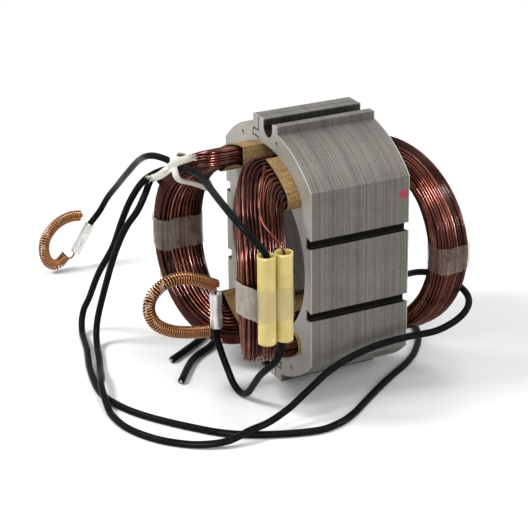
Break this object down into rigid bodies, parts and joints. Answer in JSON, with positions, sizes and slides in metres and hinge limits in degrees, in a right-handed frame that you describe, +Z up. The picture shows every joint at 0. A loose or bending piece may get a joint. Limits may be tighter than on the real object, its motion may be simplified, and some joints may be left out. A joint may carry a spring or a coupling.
{
  "type": "wound stator",
  "caption": "Wound stator of a series motor: interlocked laminated half cores, saddle coils of enamelled wire in paper liners, taped splices, brush spring rings and flexible leads.",
  "frame": {"origin": "on the motor axis at the middle of the lamination stack", "axes": "+Y along the motor axis away from the lead end, +X towards the side flat that carries the near coil, +Z up through the ribs; the lower ribs rest at Z = -50 mm"},
  "size_m": [0.1822, 0.1396, 0.1],
  "materials": {
    "lamination_steel": "stacked sheet edges, satin",
    "enamelled_wire": "red-brown enamel, glossy",
    "liner_paper": "speckled tan, matt",
    "tape_beige": "thin film, satin",
    "tape_clear": "thin clear film, glossy",
    "sleeve_yellow": "pale yellow tube, satin",
    "tinned_metal": "tinned, bright",
    "lacing_cord": "white flat cord, frayed ends",
    "spring_copper": "copper colour, bright",
    "lead_black": "black insulation, satin"
  },
  "bodies": {
    "root": {"core_half_right": "lamination_steel", "core_half_left": "lamination_steel", "coil_right": "enamelled_wire", "coil_left": "enamelled_wire", "liner_top_right": "liner_paper", "liner_bottom_right": "liner_paper", "liner_top_left": "liner_paper", "liner_bottom_left": "liner_paper", "tape_front_right": "tape_beige", "tape_back_right": "tape_clear", "tape_front_left": "tape_clear", "tape_back_left": "tape_clear", "sleeve_right_outer": "sleeve_yellow", "sleeve_right_inner": "sleeve_yellow", "sleeve_left_outer": "sleeve_yellow", "sleeve_left_inner": "sleeve_yellow", "barrel_right_outer": "tinned_metal", "barrel_right_inner": "tinned_metal", "barrel_left_outer": "tinned_metal", "barrel_left_inner": "tinned_metal", "tails_right": "enamelled_wire", "tails_left": "enamelled_wire", "lacing_tie": "lacing_cord", "spring_ring_left": "spring_copper", "ferrule_left": "tinned_metal", "spring_ring_front": "spring_copper", "ferrule_front": "tinned_metal", "lead_brush_left": "lead_black", "lead_brush_front": "lead_black", "lead_supply_right": "lead_black", "lead_supply_left": "lead_black"}
  },
  "joints": []
}
